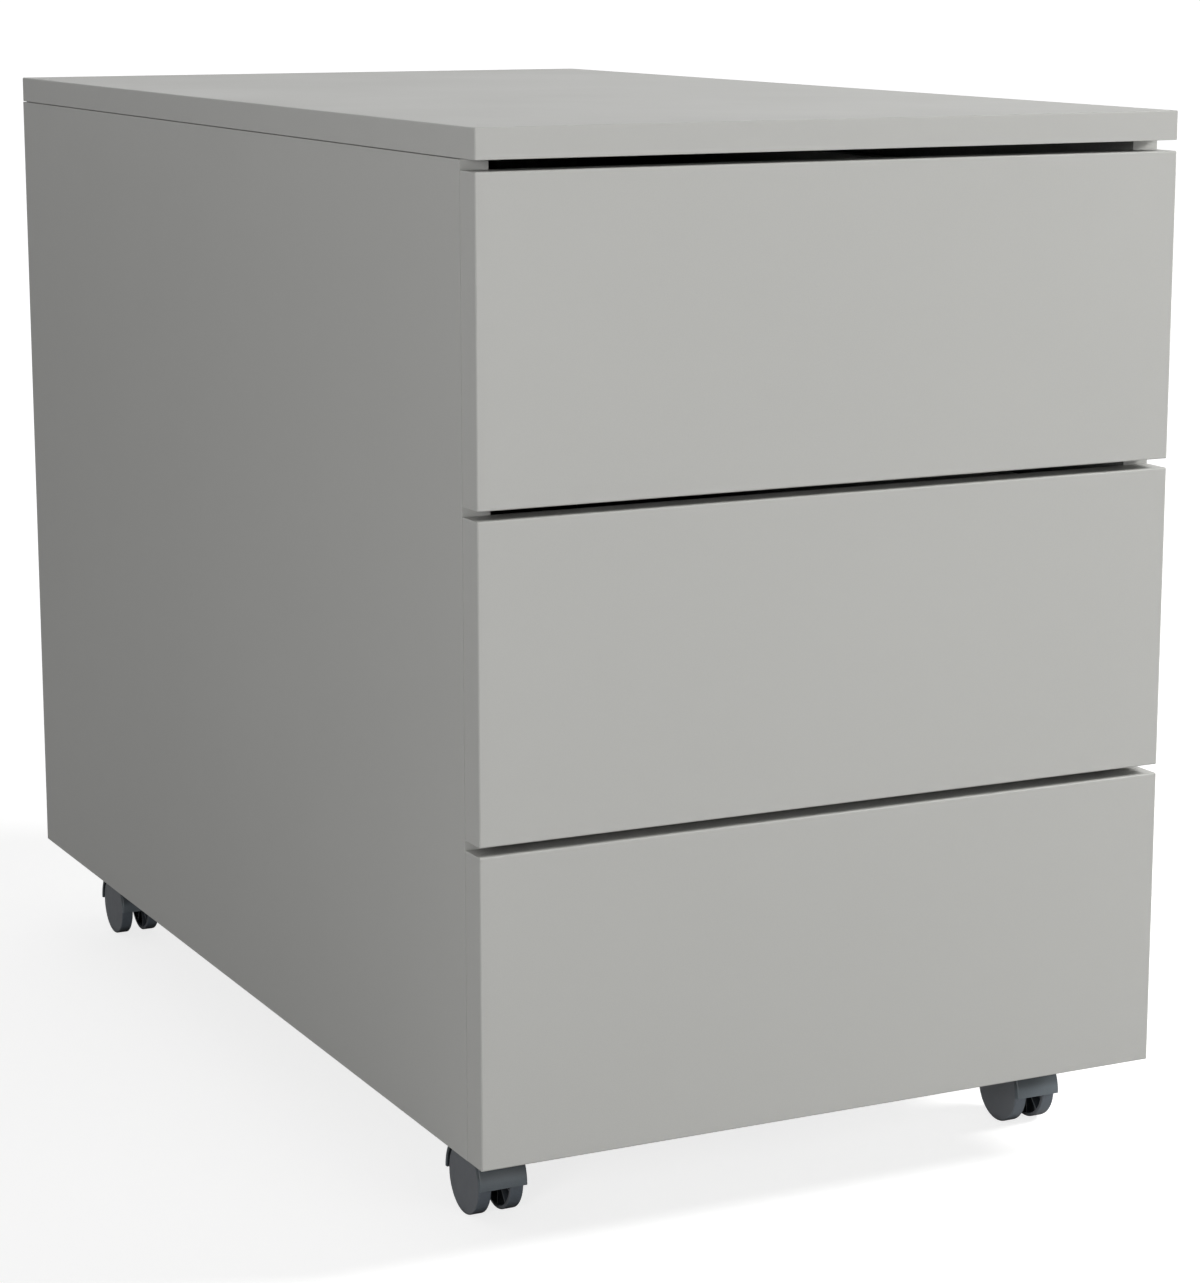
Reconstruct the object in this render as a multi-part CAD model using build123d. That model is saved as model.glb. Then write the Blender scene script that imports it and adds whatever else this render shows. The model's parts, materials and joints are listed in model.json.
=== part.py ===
from build123d import *
import os

# Rolling pedestal cabinet: a three-drawer laminated-board cabinet on four
# hooded twin-wheel castors.
# Frame: millimetres, +Z up, origin on the floor at the middle of the
# footprint, fronts facing -Y, +X to the right of somebody facing the fronts.

# ------------------------------------------------------- main dimensions
WIDTH = 420.0            # across the fronts and over both side panels
DEPTH = 760.0            # front face of the drawers to back of the carcass
HEIGHT = 594.0           # floor to top face
BOARD = 16.0             # board thickness of the carcass
FRONT_T = 18.0           # board thickness of the drawer fronts
FLOOR_GAP = 53.5         # floor to underside of the carcass
FRONT_H = 169.5          # height of each drawer front
FRONT_GAP = 5.1          # open joint between two fronts
PRESS_GAP = 0.7          # free space behind a closed front, for its press-in travel
EDGE_R = 0.9             # moulded radius of exposed board edges
BACK_EDGE_R = 0.3        # small arris on hidden and butting edges

BOX_LIFT = 22.0          # drawer side above the bottom edge of its front
BOX_BACK_Y = 300.0       # outer face of the drawer back
RUN_T = 12.7             # runner thickness, side panel to drawer side

HALF_W = WIDTH / 2
Y_FRONT = -DEPTH / 2
Y_BACK = DEPTH / 2
Y_BACK_IN = Y_BACK - BOARD               # inner face of the back panel
Z_UNDER_TOP = HEIGHT - BOARD
X_IN = HALF_W - BOARD                    # inner face of a side panel
Y_FRONT_IN = Y_FRONT + FRONT_T           # back face of the drawer fronts
Y_SIDE = Y_FRONT_IN + PRESS_GAP          # front edge of the carcass
Z_FLOOR = FLOOR_GAP + BOARD              # top face of the bottom panel
# bottom edge of each drawer front
DRAWERS = {tier: FLOOR_GAP + i * (FRONT_H + FRONT_GAP)
           for i, tier in enumerate(("lower", "middle", "upper"))}

OVER = 1.0               # how far a cutter runs past the face it opens
TOL = 1e-4               # tolerance for picking edges by position


# --------------------------------------------------------------- helpers
def block(x0, x1, y0, y1, z0, z1):
    """Board or bar between two corners."""
    middle = Pos((x0 + x1) / 2, (y0 + y1) / 2, (z0 + z1) / 2)
    return middle * Box(x1 - x0, y1 - y0, z1 - z0)


def rod(axis, radius, x, y, z, length):
    """Round bar starting at a point and running along +axis."""
    turn = {"x": Rot(0, 90, 0), "y": Rot(-90, 0, 0), "z": Rot(0, 0, 0)}[axis]
    bar = Cylinder(radius, length, align=(Align.CENTER, Align.CENTER, Align.MIN))
    return Pos(x, y, z) * turn * bar


def circles(part):
    return part.edges().filter_by(GeomType.CIRCLE)


def soften(part, radius, axis, place):
    """Round the edges lying in the plane axis = place."""
    picked = [e for e in part.edges()
              if all(abs(getattr(p, axis) - place) < TOL for p in (e @ 0, e @ 0.5, e @ 1))]
    return fillet(picked, radius)


def corners(part, radius, axis, where=None):
    """Round the edges along an axis: all, or those whose midpoint passes a test."""
    picked = part.edges().filter_by(axis)
    if where:
        picked = [e for e in picked if where(e @ 0.5)]
    return fillet(picked, radius)


def cut(part, tools):
    for tool in tools:
        part -= tool
    return part


def flip(part):
    """Mirror image on the other side of the middle plane."""
    return mirror(part, about=Plane.YZ)


def both(parts):
    """Right-hand parts followed by their mirror images."""
    return parts + [flip(p) for p in parts]


def write(name, *items):
    solids = [s for item in items for s in item.solids()]
    shape = solids[0] if len(solids) == 1 else Compound(solids)
    export_step(shape, os.path.join("parts", name + ".step"))


os.makedirs("parts", exist_ok=True)

# ----------------------------------------------------- carcass fasteners
# Dowels and cam fittings pull the five boards together. Each is made for the
# right-hand side and mirrored.
DOWEL_R = 4.0
DOWEL_L = 30.0
IN_FACE = 11.0           # dowel or bolt depth in the panel whose face is drilled
DOWEL_Y = (-335.0, 352.0)
TOP_DOWEL_SHIFT = 4.0    # top dowels sit this far in front of the bottom ones
BACK_DOWEL_Z = (150.0, 320.0, 490.0)

CAM_Y = (-230.0, 230.0)
CAM_R = 7.5
CAM_T = 12.5
CAM_REACH = 24.0         # cam centre from the joint face
BOLT_R = 3.0
BOLT_TIP_R = 2.5
BOLT_START = 2.0         # bolt end from the cam centre
BOLT_L = CAM_REACH - BOLT_START
CAM_SLOT_R = BOLT_R + 0.1
CAM_SLOT_START = 1.0     # slot end from the cam centre
CAM_SLOT_L = CAM_R + 2
DRIVE_HALF_L = 4.0       # screwdriver slot in the cam face
DRIVE_HALF_W = 0.8
DRIVE_DEEP = 2.0

BOTTOM_MID = FLOOR_GAP + BOARD / 2
SIDE_MID = HALF_W - BOARD / 2
BACK_MID = Y_BACK - BOARD / 2


def carcass_dowels():
    dowels = []
    x = X_IN + IN_FACE - DOWEL_L
    z_top = Z_UNDER_TOP + IN_FACE - DOWEL_L
    for y in DOWEL_Y:
        dowels.append(rod("x", DOWEL_R, x, y, BOTTOM_MID, DOWEL_L))
        dowels.append(rod("z", DOWEL_R, SIDE_MID, y - TOP_DOWEL_SHIFT, z_top, DOWEL_L))
    for z in BACK_DOWEL_Z:
        dowels.append(rod("x", DOWEL_R, x, BACK_MID, z, DOWEL_L))
    return dowels


def bottom_cam(y):
    """Cam let into the bottom panel's upper face, bolt out of the panel's end."""
    x = X_IN - CAM_REACH
    hole = rod("z", CAM_R, x, y, Z_FLOOR - CAM_T, CAM_T)
    bolt = rod("x", BOLT_R, x + BOLT_START, y, BOTTOM_MID, BOLT_L)
    bolt += rod("x", BOLT_TIP_R, X_IN, y, BOTTOM_MID, IN_FACE)
    slot = rod("x", CAM_SLOT_R, x + CAM_SLOT_START, y, BOTTOM_MID, CAM_SLOT_L)
    driver = block(x - DRIVE_HALF_L, x + DRIVE_HALF_L, y - DRIVE_HALF_W, y + DRIVE_HALF_W,
                   Z_FLOOR - DRIVE_DEEP, Z_FLOOR + OVER)
    return hole - slot - driver, hole, bolt


def side_cam(y):
    """Cam let into the side panel's inner face, bolt out of the panel's upper end."""
    z = Z_UNDER_TOP - CAM_REACH
    hole = rod("x", CAM_R, X_IN, y, z, CAM_T)
    bolt = rod("z", BOLT_R, SIDE_MID, y, z + BOLT_START, BOLT_L)
    bolt += rod("z", BOLT_TIP_R, SIDE_MID, y, Z_UNDER_TOP, IN_FACE)
    slot = rod("z", CAM_SLOT_R, SIDE_MID, y, z + CAM_SLOT_START, CAM_SLOT_L)
    driver = block(X_IN - OVER, X_IN + DRIVE_DEEP, y - DRIVE_HALF_W, y + DRIVE_HALF_W,
                   z - DRIVE_HALF_L, z + DRIVE_HALF_L)
    return hole - slot - driver, hole, bolt


dowels = carcass_dowels()
cam_sets = [make(y) for y in CAM_Y for make in (bottom_cam, side_cam)]
cams, cam_holes, bolts = (list(group) for group in zip(*cam_sets))
joint_holes = both(dowels + cam_holes + bolts)
write("carcass_dowels", *both(dowels))
write("cam_lock_housings", *both(cams))
write("cam_lock_bolts", *both(bolts))

# ---------------------------------------------------------- castor seats
# Written with the swivel axis on x = y = 0.
CASTOR_X = 172.5         # swivel axis from the middle plane
SWIVEL_Y = {"front": -295.0, "rear": 313.0}
PLATE = 38.0
PLATE_T = 2.0
PLATE_Z = FLOOR_GAP - PLATE_T            # underside of the plate
PLATE_CORNER_R = 4.0
PLATE_HOLE_R = 2.25
KINGPIN_R = 4.0
KINGPIN_Z = 28.0         # lower end of the kingpin
KINGPIN_TOP_GAP = 0.2    # kingpin top to underside of the carcass

SEAT_PITCH = 28.0        # plate screws, both ways
SEAT_SCREW_R = 2.0
SEAT_SCREW_L = 12.0      # below the head
SEAT_HEAD_R = 3.8
SEAT_HEAD_T = 1.7
SEAT_HEAD_ROUND = 1.2
CROSS_HALF_L = 2.2       # cross recess in the head
CROSS_HALF_W = 0.45
CROSS_DEEP = 0.8

CASTORS = {f"{end}_{side}": (sign * CASTOR_X, y)
           for side, sign in (("left", -1), ("right", 1))
           for end, y in SWIVEL_Y.items()}
SEAT_POINTS = [(sx * SEAT_PITCH / 2, sy * SEAT_PITCH / 2) for sx in (-1, 1) for sy in (-1, 1)]


def mounting_plate():
    half = PLATE / 2
    plate = block(-half, half, -half, half, PLATE_Z, FLOOR_GAP)
    plate = corners(plate, PLATE_CORNER_R, Axis.Z)
    plate -= rod("z", KINGPIN_R, 0, 0, PLATE_Z - OVER, PLATE_T + 2 * OVER)
    for x, y in SEAT_POINTS:
        plate -= rod("z", PLATE_HOLE_R, x, y, PLATE_Z - OVER, PLATE_T + 2 * OVER)
    return plate


def plate_screw():
    head_z = PLATE_Z - SEAT_HEAD_T
    head = rod("z", SEAT_HEAD_R, 0, 0, head_z, SEAT_HEAD_T)
    screw = fillet(circles(head).sort_by(Axis.Z)[0], SEAT_HEAD_ROUND)
    for hx, hy in ((CROSS_HALF_L, CROSS_HALF_W), (CROSS_HALF_W, CROSS_HALF_L)):
        screw -= block(-hx, hx, -hy, hy, head_z - 0.3, head_z + CROSS_DEEP)
    screw += rod("z", SEAT_SCREW_R, 0, 0, PLATE_Z, SEAT_SCREW_L)
    return screw


def kingpin():
    pin = rod("z", KINGPIN_R, 0, 0, KINGPIN_Z, FLOOR_GAP - KINGPIN_TOP_GAP - KINGPIN_Z)
    return fillet(circles(pin).sort_by(Axis.Z)[0], 0.8)


seats = [Pos(x, y, 0) for x, y in CASTORS.values()]
screw_places = [Pos(x + px, y + py, 0) for x, y in CASTORS.values() for px, py in SEAT_POINTS]
seat_hole = rod("z", SEAT_SCREW_R, 0, 0, FLOOR_GAP, SEAT_SCREW_L - PLATE_T)
seat_holes = [place * seat_hole for place in screw_places]
plate, pin, seat_screw = mounting_plate(), kingpin(), plate_screw()
write("castor_mounting_plates", *[seat * plate for seat in seats])
write("castor_kingpins", *[seat * pin for seat in seats])
write("castor_plate_screws", *[place * seat_screw for place in screw_places])

# --------------------------------------------------------------- runners
# Three nested members a side, written for the right-hand side. "reach" is
# measured from the side panel's inner face towards the drawer.
RUN_L = 650.0            # length of the cabinet and drawer members
RUN_Y0 = -356.0          # front end of the cabinet member
RUN_LIFT = 60.0          # runner centre above the lower edge of the drawer sides
SHEET = 1.2              # runner sheet thickness
CABINET_REACH = (0, 9.6)
MIDDLE_REACH = (2.2, 10.6)
DRAWER_REACH = (5.2, RUN_T)
BALL_GAP = 3.0           # between the lips of two members
HALF_CABINET = 22.5      # half heights of the members
HALF_MIDDLE = HALF_CABINET - SHEET - BALL_GAP
HALF_DRAWER = HALF_MIDDLE - SHEET - BALL_GAP

BALL_D = 2.9
BALLS = 6                # balls in one cage
CAGE_L = 250.0
CAGE_HALF_W = 1.9
CAGE_HALF_T = 0.5
# ball cages: reach, height from the runner centre, front end
CAGES = (
    (5.6, HALF_CABINET - SHEET - BALL_GAP / 2, 10.0),
    (7.6, HALF_MIDDLE - SHEET - BALL_GAP / 2, -345.0),
)

RUN_SCREW_Y = (-320.0, -30.0, 250.0)
RUN_SCREW_R = 2.4
RUN_SCREW_IN = 11.0      # screw depth in the side panel
RUN_HEAD_R = 4.0
RUN_HEAD_T = 0.9
SOCKET_R = 1.3
SOCKET_DEEP = 0.6


def channel(reach, web_outboard, half, y0, length, z):
    """Sheet channel: two lips and a web, on the side panel's side if outboard."""
    near, far = reach
    body = block(X_IN - far, X_IN - near, y0, y0 + length, z - half, z + half)
    if web_outboard:
        near, far = near + SHEET, far + OVER
    else:
        near, far = near - OVER, far - SHEET
    return body - block(X_IN - far, X_IN - near, y0 - OVER, y0 + length + OVER,
                        z - half + SHEET, z + half - SHEET)


def ball_cage(reach, y0, z):
    """A strip with its balls, between two lips."""
    x = X_IN - reach
    strip = block(x - CAGE_HALF_W, x + CAGE_HALF_W, y0, y0 + CAGE_L,
                  z - CAGE_HALF_T, z + CAGE_HALF_T)
    for i in range(BALLS):
        strip += Pos(x, y0 + CAGE_L / BALLS * (i + 0.5), z) * Sphere(BALL_D / 2)
    return strip


def runner_screw(y, z):
    head_x = X_IN - SHEET - RUN_HEAD_T
    head = rod("x", RUN_HEAD_R, head_x, y, z, RUN_HEAD_T)
    head -= rod("x", SOCKET_R, head_x - 0.1, y, z, SOCKET_DEEP + 0.1)
    return head + rod("x", RUN_SCREW_R, X_IN - SHEET, y, z, RUN_SCREW_IN + SHEET)


runner_screws, runner_holes = [], []
for tier, z_front in DRAWERS.items():
    z = z_front + BOX_LIFT + RUN_LIFT
    cabinet_member = channel(CABINET_REACH, True, HALF_CABINET, RUN_Y0, RUN_L, z)
    for y in RUN_SCREW_Y:
        cabinet_member -= rod("x", RUN_SCREW_R, X_IN - SHEET - OVER, y, z, SHEET + 2 * OVER)
        runner_screws += both([runner_screw(y, z)])
        runner_holes += both([rod("x", RUN_SCREW_R, X_IN, y, z, RUN_SCREW_IN)])
    write(f"{tier}_runner_cabinet_members", *both([cabinet_member]))

    middle = [channel(MIDDLE_REACH, True, HALF_MIDDLE, RUN_Y0 + 1, RUN_L - 2, z)]
    for up in (1, -1):
        middle += [ball_cage(reach, y0, z + up * rise) for reach, rise, y0 in CAGES]
    write(f"{tier}_runner_middle_members", *both(middle))

    drawer_member = channel(DRAWER_REACH, False, HALF_DRAWER, RUN_Y0 - 4, RUN_L, z)
    write(f"{tier}_runner_drawer_members", *both([drawer_member]))
write("runner_screws", *runner_screws)

# ---------------------------------------------------------- push latches
# A spring plunger behind each drawer, its housing let into the back panel.
LATCH_Z = 80.0           # push latch above the lower edge of the drawer sides
LATCH_FREE = 0.8         # plunger tip to drawer back when closed
TIP_Y = BOX_BACK_Y + LATCH_FREE
PLUNGER_R = 3.95
PLUNGER_L = 46.0
PLUNGER_SOLID = 16.0     # solid length behind the tip; the rest is hollow
PLUNGER_IN_R = 2.9
HOUSING_Y = TIP_Y + 7.8  # front end of the housing
LATCH_BORE_R = 4.0
LATCH_BORE_END = Y_BACK_IN - 4
SPIGOT_R = 5.0           # round end of the housing in the back panel
SPIGOT_L = 10.0
SPRING_Y = TIP_Y + 18.6
SPRING_L = Y_BACK_IN - 4.4 - SPRING_Y
SPRING_R = 2.3
SPRING_PITCH = 3.6
WIRE_R = 0.4


def latch_spigot(z):
    return rod("y", SPIGOT_R, 0, Y_BACK_IN, z, SPIGOT_L)


def latch_housing(z):
    body = corners(block(-9, 9, HOUSING_Y, Y_BACK_IN, z - 7, z + 7), 2.5, Axis.Y)
    body += block(-15, 15, Y_BACK_IN - 3, Y_BACK_IN, z - 9, z + 9)  # flange
    body += latch_spigot(z)
    return body - rod("y", LATCH_BORE_R, 0, HOUSING_Y - OVER, z,
                      LATCH_BORE_END - HOUSING_Y + OVER)


def latch_plunger(z):
    plunger = rod("y", PLUNGER_R, 0, TIP_Y, z, PLUNGER_L)
    plunger = fillet(circles(plunger).sort_by(Axis.Y)[0], 1.5)
    return plunger - rod("y", PLUNGER_IN_R, 0, TIP_Y + PLUNGER_SOLID, z, PLUNGER_L)


def latch_spring(z):
    path = Helix(pitch=SPRING_PITCH, height=SPRING_L, radius=SPRING_R)
    section = Plane(origin=path @ 0, z_dir=path % 0) * Circle(WIRE_R)
    wire = sweep(section, path=path, is_frenet=True)
    return Pos(0, SPRING_Y, z) * Rot(-90, 0, 0) * wire


latch_heights = {tier: z + BOX_LIFT + LATCH_Z for tier, z in DRAWERS.items()}
for tier, z in latch_heights.items():
    write(f"{tier}_latch_plunger", latch_plunger(z))
write("push_latch_housings", *[latch_housing(z) for z in latch_heights.values()])
write("push_latch_springs", *[latch_spring(z) for z in latch_heights.values()])

# -------------------------------------------------------- carcass boards
SEAM = 0.5               # height of the shadow seam under the top panel
SEAM_DEEP = 2.5          # depth of that seam


def top_panel():
    top = block(-HALF_W, HALF_W, Y_FRONT, Y_BACK, Z_UNDER_TOP, HEIGHT)
    top = corners(top, EDGE_R, Axis.Z)
    top = soften(top, EDGE_R - 0.2, "Z", HEIGHT)
    top = soften(top, BACK_EDGE_R, "Z", Z_UNDER_TOP)
    return cut(top, joint_holes)


def side_panel(sign):
    """Side panel, right (+1) or left (-1)."""
    x_out = sign * HALF_W
    panel = block(*sorted((sign * X_IN, x_out)), Y_SIDE, Y_BACK, FLOOR_GAP, Z_UNDER_TOP)
    outer_edges = [e for e in panel.edges()
                   if abs((e @ 0.5).X - x_out) < TOL and (e @ 0.5).Z < Z_UNDER_TOP - 1]
    panel = fillet(outer_edges, BACK_EDGE_R)
    seam_x = sorted((sign * (HALF_W - SEAM_DEEP), sign * (HALF_W + OVER)))
    panel -= block(*seam_x, Y_SIDE - OVER, Y_BACK + OVER,
                   Z_UNDER_TOP - SEAM, Z_UNDER_TOP + OVER)
    return cut(panel, joint_holes + runner_holes)


def bottom_panel():
    bottom = block(-X_IN, X_IN, Y_SIDE, Y_BACK, FLOOR_GAP, Z_FLOOR)
    return cut(bottom, joint_holes + seat_holes)


def back_panel():
    back = block(-X_IN, X_IN, Y_BACK_IN, Y_BACK, Z_FLOOR, Z_UNDER_TOP)
    return cut(back, joint_holes + [latch_spigot(z) for z in latch_heights.values()])


write("top_panel", top_panel())
write("right_side_panel", side_panel(1))
write("left_side_panel", side_panel(-1))
write("bottom_panel", bottom_panel())
write("back_panel", back_panel())

# --------------------------------------------------------------- drawers
BOX_BOARD = 12.0         # drawer side and back thickness
BOX_H = 132.0            # drawer side height
BASE_T = 6.0             # drawer bottom thickness
BASE_LIFT = 8.0          # drawer bottom above the lower edge of the sides
GROOVE = 6.0             # depth of the groove that holds the drawer bottom
PEG_R = 3.0              # drawer dowels
PEG_L = 24.0
PEG_IN_FRONT = 10.0      # dowel depth in the front
PEG_IN_SIDE = 8.0        # dowel depth in the side, from its inner face
PEG_RISES = (32, 106)    # dowels above the lower edge of the sides
X_BOX = X_IN - RUN_T                     # outer face of a drawer side
X_BOX_IN = X_BOX - BOX_BOARD


def drawer_front(z):
    front = block(-HALF_W, HALF_W, Y_FRONT, Y_FRONT_IN, z, z + FRONT_H)
    front = corners(front, 0.6, Axis.Y)
    front = soften(front, EDGE_R, "Y", Y_FRONT)
    return soften(front, BACK_EDGE_R, "Y", Y_FRONT_IN)


def drawer_pegs(z0):
    pegs = []
    for rise in PEG_RISES:
        z = z0 + rise
        pegs += both([rod("y", PEG_R, X_BOX - BOX_BOARD / 2, Y_FRONT_IN - PEG_IN_FRONT,
                          z, PEG_L)])
        pegs += both([rod("x", PEG_R, X_BOX_IN + PEG_IN_SIDE - PEG_L,
                          BOX_BACK_Y - BOX_BOARD / 2, z, PEG_L)])
    return pegs


for tier, z_front in DRAWERS.items():
    z0 = z_front + BOX_LIFT
    z1 = z0 + BOX_H
    z_base = z0 + BASE_LIFT
    side = block(X_BOX_IN, X_BOX, Y_FRONT_IN, BOX_BACK_Y, z0, z1)
    side = corners(side, 1.0, Axis.Y, lambda p: p.Z > z1 - 1)
    back = block(-X_BOX_IN, X_BOX_IN, BOX_BACK_Y - BOX_BOARD, BOX_BACK_Y, z_base + BASE_T, z1)
    base_half = X_BOX_IN + GROOVE
    base = block(-base_half, base_half, Y_FRONT_IN - GROOVE, BOX_BACK_Y,
                 z_base, z_base + BASE_T)
    pegs = drawer_pegs(z0)
    tools = pegs + [base]
    write(f"{tier}_drawer_front", cut(drawer_front(z_front), tools))
    write(f"{tier}_drawer_right_side", cut(side, tools))
    write(f"{tier}_drawer_left_side", cut(flip(side), tools))
    write(f"{tier}_drawer_back", cut(back, pegs))
    write(f"{tier}_drawer_bottom", base)
    write(f"{tier}_drawer_dowels", *pegs)

# --------------------------------------------------------------- castors
# Written with the swivel axis on x = y = 0.
WHEEL_R = 20.0
WHEEL_T = 7.8
CASTOR_W = 27.2          # over both wheels
TRAIL = 7.0              # swivel axis behind the wheel axle
HOOD_R = 24.0
HOOD_IN_R = 21.0
HOOD_W = 28.4
WEB_W = 10.4
BOSS_R = 5.6             # web boss round the axle
COLLAR_R = 10.5
AXLE_R = 3.0
AXLE_L = 21.2
AXLE_Y = -TRAIL
AXLE_Z = WHEEL_R
COLLAR_Z = AXLE_Z + 21.5

FACE_T = 2.0             # wheel disc behind the smooth face
RIM_IN_R = 18.0
HUB_R = 5.2
RIBS = 10
RIB_T = 0.8
RIB_DEEP = WHEEL_T - FACE_T - 0.8
RIB_START_R = HUB_R - 1.0                # ribs run into the hub and the rim
RIB_L = RIM_IN_R - HUB_R + 1.5
FUSE = 0.1               # overlap of hub and ribs with the disc

# how far each castor's left and right wheel have rolled, degrees
PHASE = {
    "front_left": (11.0, 0.0),
    "front_right": (-15.0, -6.0),
    "rear_left": (4.0, -9.0),
    "rear_right": (17.0, 8.0),
}


def axle_rod(radius, width):
    """Round bar centred on the axle."""
    return rod("x", radius, -width / 2, AXLE_Y, AXLE_Z, width)


def below_axle(lift):
    """Cutter for everything lower than lift above the axle."""
    return block(-HOOD_W, HOOD_W, AXLE_Y - 30, AXLE_Y + 30, AXLE_Z - 30, AXLE_Z + lift)


def castor_hood():
    arch = axle_rod(HOOD_R, HOOD_W) - axle_rod(HOOD_IN_R, HOOD_W + 2 * OVER)
    arch -= below_axle(0)
    arch = fillet([e for e in circles(arch) if abs(e.radius - HOOD_R) < 1e-3], 1.0)
    web = axle_rod(HOOD_IN_R + 0.6, WEB_W) - below_axle(2.0)
    web += axle_rod(BOSS_R, WEB_W)
    collar = rod("z", COLLAR_R, 0, 0, COLLAR_Z, PLATE_Z - 0.1 - COLLAR_Z)
    collar = fillet(circles(collar).sort_by(Axis.Z)[-1], 0.8)
    hood = arch + web + collar
    hood -= rod("z", KINGPIN_R + 0.05, 0, 0, KINGPIN_Z - 0.5, 30)
    return hood - axle_rod(AXLE_R, 2 * WEB_W)


def castor_axle():
    axle = axle_rod(AXLE_R, AXLE_L)
    return fillet(circles(axle), 0.5)


def castor_wheel():
    """Wheel with its smooth face on -X; hub cup and radial ribs in the hollow side."""
    wheel = rod("x", WHEEL_R, 0, 0, 0, WHEEL_T)
    wheel = fillet(circles(wheel).sort_by(Axis.X)[0], 0.9)
    wheel = fillet([e for e in circles(wheel) if abs((e @ 0).X - WHEEL_T) < TOL], 0.6)
    wheel -= rod("x", RIM_IN_R, FACE_T, 0, 0, WHEEL_T)
    hub = rod("x", HUB_R, FACE_T - FUSE, 0, 0, WHEEL_T - FACE_T + FUSE)
    bar = Pos(FACE_T - FUSE, 0, RIB_START_R) * Box(
        RIB_DEEP, RIB_T, RIB_L, align=(Align.MIN, Align.CENTER, Align.MIN))
    ribs = bar
    for i in range(1, RIBS):
        ribs = ribs + Rot(360 / RIBS * i, 0, 0) * bar
    wheel = wheel + hub + ribs
    return wheel - rod("x", AXLE_R + 0.05, FACE_T + 0.6, 0, 0, WHEEL_T)


hood, axle, wheel = castor_hood(), castor_axle(), castor_wheel()
for name, (x, y) in CASTORS.items():
    write(f"{name}_castor_hood", Pos(x, y, 0) * hood)
    write(f"{name}_castor_axle", Pos(x, y, 0) * axle)
    for side, sign, turn, roll in zip(("left", "right"), (-1, 1), (0, 180), PHASE[name]):
        place = Pos(x + sign * CASTOR_W / 2, y + AXLE_Y, AXLE_Z)
        write(f"{name}_castor_{side}_wheel", place * Rot(roll, 0, 0) * Rot(0, 0, turn) * wheel)
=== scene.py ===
# A drawer unit on castors: laminate boards, steel drawer runners, beech dowels,
# push latches and plastic castors. Metres, +Z up, standing over the floor at
# z = 0. Its front faces -Y and its side panels face -X and +X.
# The CAD meshes stay as they are. This adds materials, a floor, lights and a camera.
import json
import math

import bmesh
import bpy
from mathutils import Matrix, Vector


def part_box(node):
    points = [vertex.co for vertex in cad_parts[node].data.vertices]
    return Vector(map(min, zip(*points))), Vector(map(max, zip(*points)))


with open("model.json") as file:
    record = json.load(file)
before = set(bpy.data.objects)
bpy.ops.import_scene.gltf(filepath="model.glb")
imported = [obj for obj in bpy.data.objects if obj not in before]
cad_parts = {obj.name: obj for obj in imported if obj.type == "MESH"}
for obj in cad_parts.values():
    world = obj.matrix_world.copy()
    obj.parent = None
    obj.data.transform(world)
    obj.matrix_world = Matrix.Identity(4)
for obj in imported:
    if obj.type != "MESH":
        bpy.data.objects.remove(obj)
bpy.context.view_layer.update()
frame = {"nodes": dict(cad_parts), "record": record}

scene = bpy.context.scene


# -------------------------------------------------------------------- colours
def srgb(red, green, blue):
    """Linear RGBA from 8-bit sRGB."""
    def linear(value):
        value /= 255.0
        return value / 12.92 if value <= 0.04045 else ((value + 0.055) / 1.055) ** 2.4
    return (linear(red), linear(green), linear(blue), 1.0)


def scaled(color, gain):
    """The colour made lighter or darker, still opaque."""
    return tuple(channel * gain for channel in color[:3]) + (1.0,)


LAMINATE = srgb(197, 197, 194)
# painted shade for the boards, where they are shut in by their neighbours
BOARD_PAINTED_SHADE = (0.006, 0.006, 0.006, 1.0)
ZINC = srgb(198, 200, 204)
HOOD = srgb(104, 112, 118)
WHEEL_TREAD = srgb(96, 104, 113)
WHEEL_CAP = srgb(117, 120, 125)
# painted shade in the castors' hollows
CASTOR_PAINTED_SHADE = (0.004, 0.005, 0.006, 1.0)
BEECH_DARK = srgb(196, 160, 118)
BEECH_LIGHT = srgb(222, 190, 150)
BEECH_PORE = srgb(150, 112, 76)
LATCH = srgb(205, 206, 204)
PLUNGER = srgb(120, 122, 124)
ALLOY_DARK = srgb(165, 165, 163)
ALLOY_LIGHT = srgb(196, 196, 194)

# laminate edge band
BAND_WIDTH = 0.0020
BAND_BLUR = 0.00005         # half the width of the band's soft inner limit
JOINT_REACH = 0.00013       # the hairline joint fades out this far to each side
INNER_FACE_SLACK = 0.0001

# painted shadow on the top of the castor hoods, where the board above shades them
HOOD_TOP = 0.0285
HOOD_SHADE_DEPTH = 0.0045


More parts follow.
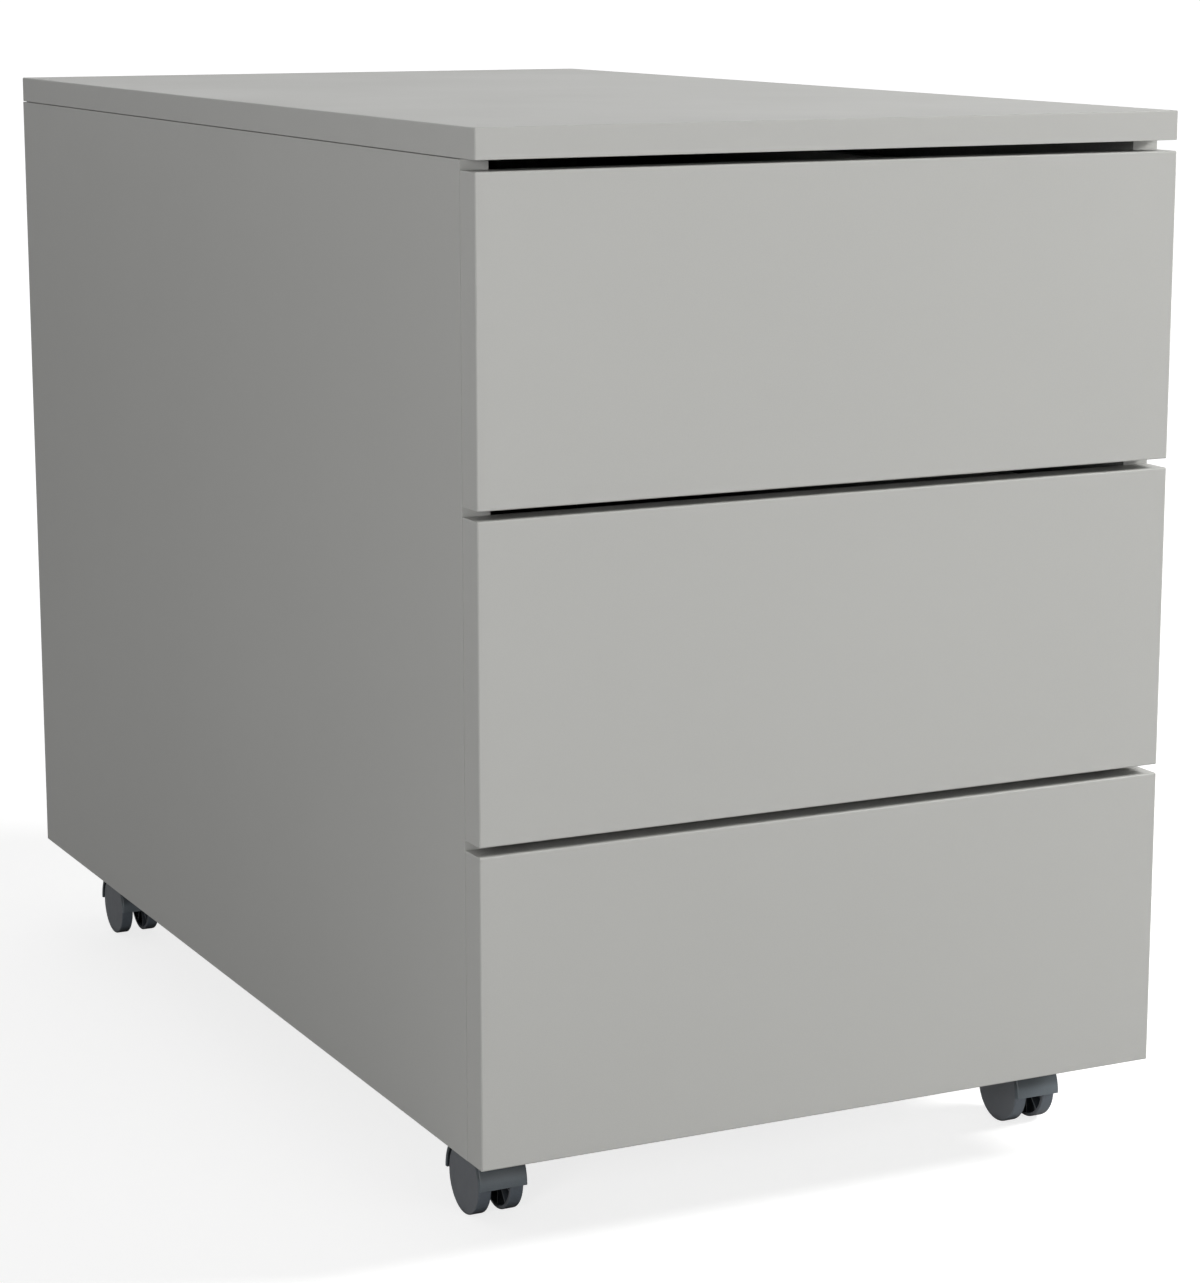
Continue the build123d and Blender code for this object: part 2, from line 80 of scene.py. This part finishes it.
# ---------------------------------------------------------------- node graphs
class Graph:
    """The node tree of a material or world, with short calls for its nodes."""

    def __init__(self, owner):
        self.owner = owner
        owner.use_nodes = True
        self.tree = owner.node_tree
        self.tree.nodes.clear()
        self.coords = self.node("TexCoord").outputs

    def node(self, kind, inputs=None, **settings):
        """Add a node. An input is either a value or a socket to link from."""
        node = self.tree.nodes.new("ShaderNode" + kind)
        for name, value in settings.items():
            setattr(node, name, value)
        for key, value in (inputs or {}).items():
            if isinstance(value, bpy.types.NodeSocket):
                self.tree.links.new(value, node.inputs[key])
            else:
                node.inputs[key].default_value = value
        return node

    def math(self, operation, *values):
        return self.node("Math", dict(enumerate(values)), operation=operation).outputs[0]

    def split(self, vector):
        return self.node("SeparateXYZ", {0: vector}).outputs

    def noise(self, scale, detail=2.0, rough=0.5, vector=None):
        return self.node("TexNoise", {
            "Vector": vector or self.coords["Object"],
            "Scale": scale,
            "Detail": detail,
            "Roughness": rough,
        }).outputs[0]

    def streaks(self, axis, along, across, detail=3.0, rough=0.6):
        """Noise drawn out along one axis; along and across are its scales."""
        scale = tuple(along if name == axis else across for name in "xyz")
        mapping = self.node("Mapping", {"Vector": self.coords["Object"], "Scale": scale})
        return self.noise(1.0, detail, rough, mapping.outputs[0])

    def cells(self, scale):
        inputs = {"Vector": self.coords["Object"], "Scale": scale}
        return self.node("TexVoronoi", inputs).outputs["Distance"]

    def ramp(self, value, source, target, smooth=False):
        """Map the source range onto the target range, clamped at both ends."""
        return self.node("MapRange", {
            "Value": value,
            "From Min": source[0],
            "From Max": source[1],
            "To Min": target[0],
            "To Max": target[1],
        }, interpolation_type="SMOOTHSTEP" if smooth else "LINEAR").outputs[0]

    def spread(self, noise, low=0.0, high=1.0):
        """Widen the middle of a noise, where most of it lies, to low..high."""
        return self.ramp(noise, source=(0.3, 0.7), target=(low, high))

    def mix(self, factor, base, over):
        """Mix two colours: inputs 6 and 7 of a Mix node are its colours."""
        inputs = {0: factor, 6: base, 7: over}
        return self.node("Mix", inputs, data_type="RGBA").outputs[2]

    def bump(self, height, distance, strength, normal=None):
        inputs = {"Strength": strength, "Distance": distance, "Height": height}
        if normal is not None:
            inputs["Normal"] = normal
        return self.node("Bump", inputs).outputs[0]

    def open_sky(self, reach):
        """How open a point is, 0 to 1: low deep inside a gap or a hollow."""
        return self.node("AmbientOcclusion", {"Distance": reach}, samples=4).outputs["AO"]

    def mix_shader(self, factor, first, second):
        return self.node("MixShader", {0: factor, 1: first, 2: second}).outputs[0]

    def surface(self, color, roughness, normal, **more):
        """Close the graph with a Principled shader and return the material.
        Further inputs are named in lower case with underscores."""
        inputs = {"Base Color": color, "Roughness": roughness, "Normal": normal}
        names = {
            "metallic": "Metallic",
            "specular": "Specular IOR Level",
            "subsurface": "Subsurface Weight",
            "subsurface_radius": "Subsurface Radius",
        }
        inputs.update({names[key]: value for key, value in more.items()})
        shader = self.node("BsdfPrincipled", inputs)
        self.node("OutputMaterial", {0: shader.outputs[0]})
        return self.owner


def material_graph(name):
    return Graph(bpy.data.materials.new(name))


# ------------------------------------------------------------------ materials
def edge_distance(g, xyz, low, high):
    """Distance to the nearest edge of a board's large faces."""
    middle = (low + high) / 2
    half = (high - low) / 2
    insets = []
    for axis in sorted(range(3), key=lambda i: half[i])[1:]:
        offset = g.math("ABSOLUTE", g.math("SUBTRACT", xyz[axis], middle[axis]))
        insets.append(g.math("SUBTRACT", half[axis], offset))
    return g.math("MINIMUM", *insets)


def paint_board_shade(g, base, node, xyz, low, high):
    """Paint shade on a board where it is shut in by its neighbours."""
    if node.endswith("side_panel"):
        # painted shade: the inner face fades to black where it closes on the drawers
        inner_face = min(abs(low[0]), abs(high[0])) + INNER_FACE_SLACK
        inside = g.math("LESS_THAN", g.math("ABSOLUTE", xyz[0]), inner_face)
        painted_shade = g.ramp(g.open_sky(reach=0.25), source=(0.05, 0.45), target=(0.94, 0.0), smooth=True)
        return g.mix(g.math("MULTIPLY", inside, painted_shade), base, BOARD_PAINTED_SHADE)
    # painted shade in the gaps and slots between the boards
    painted_shade = g.ramp(g.open_sky(reach=0.05), source=(0.01, 0.13), target=(0.5, 0.0), smooth=True)
    return g.mix(painted_shade, base, BOARD_PAINTED_SHADE)


def laminate(node, tone):
    """Satin melamine board with a moulded edge band: the band shows as a thin
    strip and a hairline joint round each large face of the board."""
    low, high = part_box(node)
    g = material_graph("laminate_" + node)
    xyz = g.split(g.coords["Object"])
    edge = edge_distance(g, xyz, low, high)
    band_limits = (BAND_WIDTH - BAND_BLUR, BAND_WIDTH + BAND_BLUR)
    band = g.ramp(edge, source=band_limits, target=(1.0, 0.0))
    from_joint = g.math("ABSOLUTE", g.math("SUBTRACT", edge, BAND_WIDTH))
    joint = g.ramp(from_joint, source=(0.0, JOINT_REACH), target=(1.0, 0.0), smooth=True)

    cloud = g.noise(scale=5.0, detail=3.0, rough=0.55)
    grain = g.noise(scale=1500.0, detail=3.0, rough=0.65)
    fleck = g.cells(scale=620.0)

    def toned(gain):
        return scaled(LAMINATE, tone * gain)

    base = g.mix(g.spread(cloud), toned(gain=0.985), toned(gain=1.012))
    light_grain = g.ramp(grain, source=(0.35, 0.65), target=(0.0, 1.0))
    base = g.mix(light_grain, base, toned(gain=1.03))
    dark_fleck = g.ramp(fleck, source=(0.0, 0.5), target=(0.05, 0.0))
    base = g.mix(dark_fleck, base, toned(gain=0.90))
    # the band's lighter tone is partly its own tone and partly a painted edge highlight
    base = g.mix(g.math("MULTIPLY", band, 0.6), base, toned(gain=1.02))
    base = g.mix(g.math("MULTIPLY", joint, 0.10), base, toned(gain=0.55))
    # painted shade where the board is shut in by its neighbours
    base = paint_board_shade(g, base, node, xyz, low, high)

    # the band is a little glossier than the face
    rough = g.spread(g.noise(scale=9.0, detail=4.0, rough=0.6), low=0.43, high=0.52)
    rough = g.math("SUBTRACT", rough, g.math("MULTIPLY", band, 0.06))

    # fine relief, weaker on the band; then the joint's groove and a slow waviness
    height = g.math("ADD", g.math("MULTIPLY", grain, 0.6), g.math("MULTIPLY", fleck, 0.5))
    relief = g.math("SUBTRACT", 1.0, g.math("MULTIPLY", band, 0.6))
    height = g.math("MULTIPLY", height, relief)
    normal = g.bump(height, distance=0.000016, strength=0.55)
    groove = g.math("MULTIPLY", joint, -1.0)
    normal = g.bump(groove, distance=0.00006, strength=0.12, normal=normal)
    waves = g.noise(scale=14.0, detail=1.0, rough=0.4)
    normal = g.bump(waves, distance=0.00035, strength=0.10, normal=normal)
    return g.surface(base, rough, normal, specular=0.42)


def castor_plastic(name, body, shine, hollow_shade, reach, openness, cap=None, roof=None):
    """Fine spark-eroded moulding texture on dark blue-grey polyamide. cap colours
    the faces turned along X. Towards the height roof a painted shadow darkens it.
    Painted shade darkens the hollows by up to the given depth, over the given range of openness
    within reach."""
    g = material_graph(name)
    cloud = g.noise(scale=60.0, detail=3.0, rough=0.5)
    pits = g.noise(scale=2600.0, detail=2.0, rough=0.6)
    scuff = g.streaks("x", along=300, across=900)
    mottle = g.spread(cloud)
    worn = cap or body
    base = g.mix(mottle, scaled(body, gain=0.95), scaled(body, gain=1.05))
    if cap:
        normals = g.node("TexCoord").outputs["Normal"]
        sideways = g.math("ABSOLUTE", g.split(normals)[0])
        flat = g.ramp(sideways, source=(0.55, 0.95), target=(0.0, 1.0), smooth=True)
        cap_color = g.mix(mottle, scaled(cap, gain=0.96), scaled(cap, gain=1.04))
        base = g.mix(flat, base, cap_color)
    light_pits = g.ramp(pits, source=(0.35, 0.65), target=(0.0, 0.22))
    base = g.mix(light_pits, base, scaled(worn, gain=1.30))
    light_scuff = g.ramp(scuff, source=(0.60, 0.75), target=(0.0, 0.18))
    base = g.mix(light_scuff, base, scaled(worn, gain=1.35))
    if roof:
        # painted shadow of the board above: the hood darkens towards its top
        height = g.split(g.coords["Object"])[2]
        limits = (roof - HOOD_SHADE_DEPTH, roof)
        painted_shadow = g.ramp(height, source=limits, target=(0.0, 0.55), smooth=True)
        base = g.mix(painted_shadow, base, scaled(body, gain=0.25))
    # painted shade deep in the hollows and between the ribs
    hollow = g.ramp(g.open_sky(reach), source=openness, target=(hollow_shade, 0.0))
    base = g.mix(hollow, base, CASTOR_PAINTED_SHADE)

    blotches = g.noise(scale=140.0, detail=4.0, rough=0.6)
    rough = g.spread(blotches, low=shine - 0.04, high=shine + 0.06)
    normal = g.bump(pits, distance=0.00002, strength=0.6)
    waves = g.noise(scale=90.0, detail=1.0, rough=0.5)
    normal = g.bump(waves, distance=0.0002, strength=0.12, normal=normal)
    return g.surface(base, rough, normal, specular=0.55)


def steel(name, color, rough, along, relief=1.0):
    """Zinc-plated or drawn steel, with its grain running along one axis."""
    g = material_graph(name)
    lines = g.streaks(along, along=18, across=1600)
    spangle = g.noise(scale=260.0, detail=3.0, rough=0.6)
    base = g.mix(g.spread(spangle), scaled(color, gain=0.90), scaled(color, gain=1.06))
    roughness = g.spread(lines, low=rough - 0.06, high=rough + 0.10)
    normal = g.bump(spangle, distance=0.00003, strength=0.15)
    normal = g.bump(lines, distance=0.000012 * relief, strength=0.6, normal=normal)
    return g.surface(base, roughness, normal, metallic=1.0)


def beech(name, along):
    """Bare beech with its fibre along one axis and pores twice as fine."""
    g = material_graph(name)
    fibre = g.streaks(along, along=40, across=900, detail=4.0, rough=0.6)
    pores = g.streaks(along, along=2 * 40, across=2 * 900, detail=2.0, rough=0.5)
    base = g.mix(g.spread(fibre), BEECH_DARK, BEECH_LIGHT)
    base = g.mix(g.ramp(pores, source=(0.62, 0.75), target=(0.0, 0.6)), base, BEECH_PORE)
    return g.surface(base, 0.72, g.bump(fibre, distance=0.00008, strength=0.5))


def acetal(name, color):
    """Smooth, slightly translucent moulded plastic."""
    g = material_graph(name)
    pits = g.noise(scale=1800.0, detail=2.0, rough=0.5)
    flow = g.noise(scale=45.0, detail=3.0, rough=0.5)
    base = g.mix(g.spread(flow), scaled(color, gain=0.96), scaled(color, gain=1.03))
    rough = g.spread(flow, low=0.34, high=0.44)
    normal = g.bump(pits, distance=0.000015, strength=0.5)
    return g.surface(base, rough, normal, subsurface=0.08, subsurface_radius=(0.004,) * 3)


def cast_alloy(name):
    """Dull, grainy die-cast metal."""
    g = material_graph(name)
    grain = g.noise(scale=1400.0, detail=3.0, rough=0.6)
    base = g.mix(g.spread(grain), ALLOY_DARK, ALLOY_LIGHT)
    rough = g.spread(grain, low=0.45, high=0.6)
    normal = g.bump(grain, distance=0.00004, strength=0.6)
    return g.surface(base, rough, normal, metallic=1.0)


shared = {
    "runner": steel("zinc_plated_runner", ZINC, rough=0.30, along="y"),
    "fastener": steel("zinc_plated_fastener", scaled(ZINC, gain=0.95),
                      rough=0.34, along="z", relief=0.6),
    "plate": steel("pressed_steel_plate", scaled(ZINC, gain=0.85), rough=0.38, along="x"),
    "spring": steel("spring_wire", scaled(ZINC, gain=0.8), rough=0.26, along="y", relief=0.5),
    "axle": steel("ground_steel_pin", ZINC, rough=0.22, along="x", relief=0.5),
    "hood": castor_plastic("castor_hood_plastic", HOOD, shine=0.32, hollow_shade=0.85,
                           reach=0.040, openness=(0.22, 0.70), roof=HOOD_TOP),
    "wheel": castor_plastic("castor_wheel_plastic", WHEEL_TREAD, shine=0.42, hollow_shade=0.94,
                            reach=0.010, openness=(0.2, 0.75), cap=WHEEL_CAP),
    "dowel_x": beech("beech_dowel", along="x"),
    "dowel_y": beech("beech_box_dowel", along="y"),
    "latch": acetal("latch_acetal", LATCH),
    "plunger": acetal("plunger_acetal", PLUNGER),
    "cam": cast_alloy("die_cast_cam"),
}


def finish_for(node, slot):
    """The material of a piece, from its slot first and then its name."""
    if slot == "board_laminate":
        return laminate(node, tone=1.0)
    if slot == "drawer_board":
        return laminate(node, tone=0.98)
    if slot == "dowel_beech":
        return shared["dowel_x" if node == "carcass_dowels" else "dowel_y"]
    if slot == "runner_steel":
        return shared["runner"]
    if slot == "cam_alloy":
        return shared["cam"]
    if slot == "castor_plastic":
        return shared["hood" if node.endswith("hood") else "wheel"]
    if slot == "latch_plastic":
        return shared["latch" if node == "push_latch_housings" else "plunger"]
    if node == "push_latch_springs":
        return shared["spring"]
    if node == "castor_mounting_plates":
        return shared["plate"]
    if node.endswith("_axle") or node == "castor_kingpins":
        return shared["axle"]
    return shared["fastener"]


slot_of = {part["node"]: part["material_slot"] for part in frame["record"]["subparts"]}
for name, piece in frame["nodes"].items():
    piece.data.materials.clear()
    piece.data.materials.append(finish_for(name, slot_of[name]))


# -------------------------------------------------------------------- staging
FLOOR_HALF_SIZE = 150.0
FLOOR_GREYS = (0.44, 0.46)          # diffuse grey seen by the camera, mottled
FLOOR_BOUNCE = 0.55                 # diffuse grey seen by all other rays
FLOOR_GLOW = (0.77, 0.77 + 0.20)    # emission, near and far from the origin
FLOOR_GLOW_REACH = (0.7, 2.6)       # distances where those two hold

# sky light by direction: axis, sign, strength
SKY = (
    (0, 1.0, 0.1156),   # right
    (0, -1.0, 0.0),     # left
    (1, -1.0, 0.0),     # front
    (1, 1.0, 1.0612),   # back
    (2, 1.0, 0.0),      # top
)

# disk lamps: name, place, diameter, watts, colour
LAMPS = (
    ("key", (2.2, -1.0, 1.6), 0.7, 70.0, (1.0, 1.0, 0.985)),
    ("low", (0.6, -2.6, 0.7), 1.6, 6.8, (1.0, 1.0, 1.0)),
    ("fill", (-2.2, -2.4, 0.9), 0.8, 26.7, (1.0, 1.0, 1.0)),
)
LAMP_TARGET = (0.0, -0.1, 0.3)

CAMERA_PLACE = (-0.896847, -1.915299, 0.678072)
CAMERA_DOWN = 11.484057             # degrees below level
CAMERA_TURN = -26.207778            # degrees about Z, from looking along +Y
SENSOR_WIDTH = 36.0                 # millimetres
FOCAL_LENGTH = 95.12578             # millimetres


def grey(value):
    return (value, value, value, 1.0)


def floor_material():
    """Pale studio floor: white to the camera where nothing shades it, with
    soft contact shadows. It can be looked through from below."""
    g = material_graph("studio_floor")
    color = g.mix(g.noise(scale=40.0), grey(FLOOR_GREYS[0]), grey(FLOOR_GREYS[1]))
    diffuse = g.node("BsdfDiffuse", {"Color": color}).outputs[0]
    distance = g.node("VectorMath", {0: g.coords["Object"]}, operation="LENGTH")
    strength = g.ramp(distance.outputs["Value"], source=FLOOR_GLOW_REACH, target=FLOOR_GLOW)
    glow = g.node("Emission", {"Color": grey(1.0), "Strength": strength}).outputs[0]
    seen = g.node("AddShader", {0: diffuse, 1: glow}).outputs[0]
    bounce = g.node("BsdfDiffuse", {"Color": grey(FLOOR_BOUNCE)}).outputs[0]
    above = g.mix_shader(g.node("LightPath").outputs["Is Camera Ray"], bounce, seen)
    clear = g.node("BsdfTransparent").outputs[0]
    underside = g.node("NewGeometry").outputs["Backfacing"]
    g.node("OutputMaterial", {"Surface": g.mix_shader(underside, above, clear)})
    return g.owner


def add_object(name, data):
    obj = bpy.data.objects.new(name, data)
    scene.collection.objects.link(obj)
    return obj


def add_floor():
    mesh = bpy.data.meshes.new("studio_floor")
    bm = bmesh.new()
    bmesh.ops.create_grid(bm, x_segments=8, y_segments=8, size=FLOOR_HALF_SIZE)
    bm.to_mesh(mesh)
    bm.free()
    floor = add_object("studio_floor", mesh)
    mesh.materials.append(floor_material())


def add_world():
    """White to the camera; to other rays, light that varies with direction."""
    world = bpy.data.worlds.new("studio")
    scene.world = world
    g = Graph(world)
    direction = g.split(g.coords["Generated"])
    strength = 0.0
    for axis, sign, weight in SKY:
        facing = g.math("MAXIMUM", g.math("MULTIPLY", direction[axis], sign), 0.0)
        strength = g.math("MULTIPLY_ADD", facing, weight, strength)
    light = g.node("Background", {"Color": grey(1.0), "Strength": strength}).outputs[0]
    seen = g.node("Background", {"Color": grey(1.0), "Strength": 1.0}).outputs[0]
    camera_ray = g.node("LightPath").outputs["Is Camera Ray"]
    g.node("OutputWorld", {0: g.mix_shader(camera_ray, light, seen)})


def add_lamp(name, place, size, power, color):
    """A disk lamp aimed at the shared target and hidden from the camera."""
    lamp = bpy.data.lights.new(name, "AREA")
    lamp.shape = "DISK"
    lamp.size = size
    lamp.energy = power
    lamp.color = color
    obj = add_object(name, lamp)
    obj.location = place
    aim = Vector(LAMP_TARGET) - Vector(place)
    obj.rotation_euler = aim.to_track_quat("-Z", "Y").to_euler()
    obj.visible_camera = False


def add_camera():
    lens = bpy.data.cameras.new("camera")
    lens.sensor_width = SENSOR_WIDTH
    lens.lens = FOCAL_LENGTH
    lens.clip_start = 0.05
    lens.clip_end = 500.0
    camera = add_object("camera", lens)
    camera.location = CAMERA_PLACE
    camera.rotation_euler = (math.radians(90 - CAMERA_DOWN), 0.0, math.radians(CAMERA_TURN))
    scene.camera = camera


add_floor()
add_world()
for lamp_row in LAMPS:
    add_lamp(*lamp_row)
add_camera()
scene.view_settings.view_transform = "Standard"
scene.view_settings.look = "None"
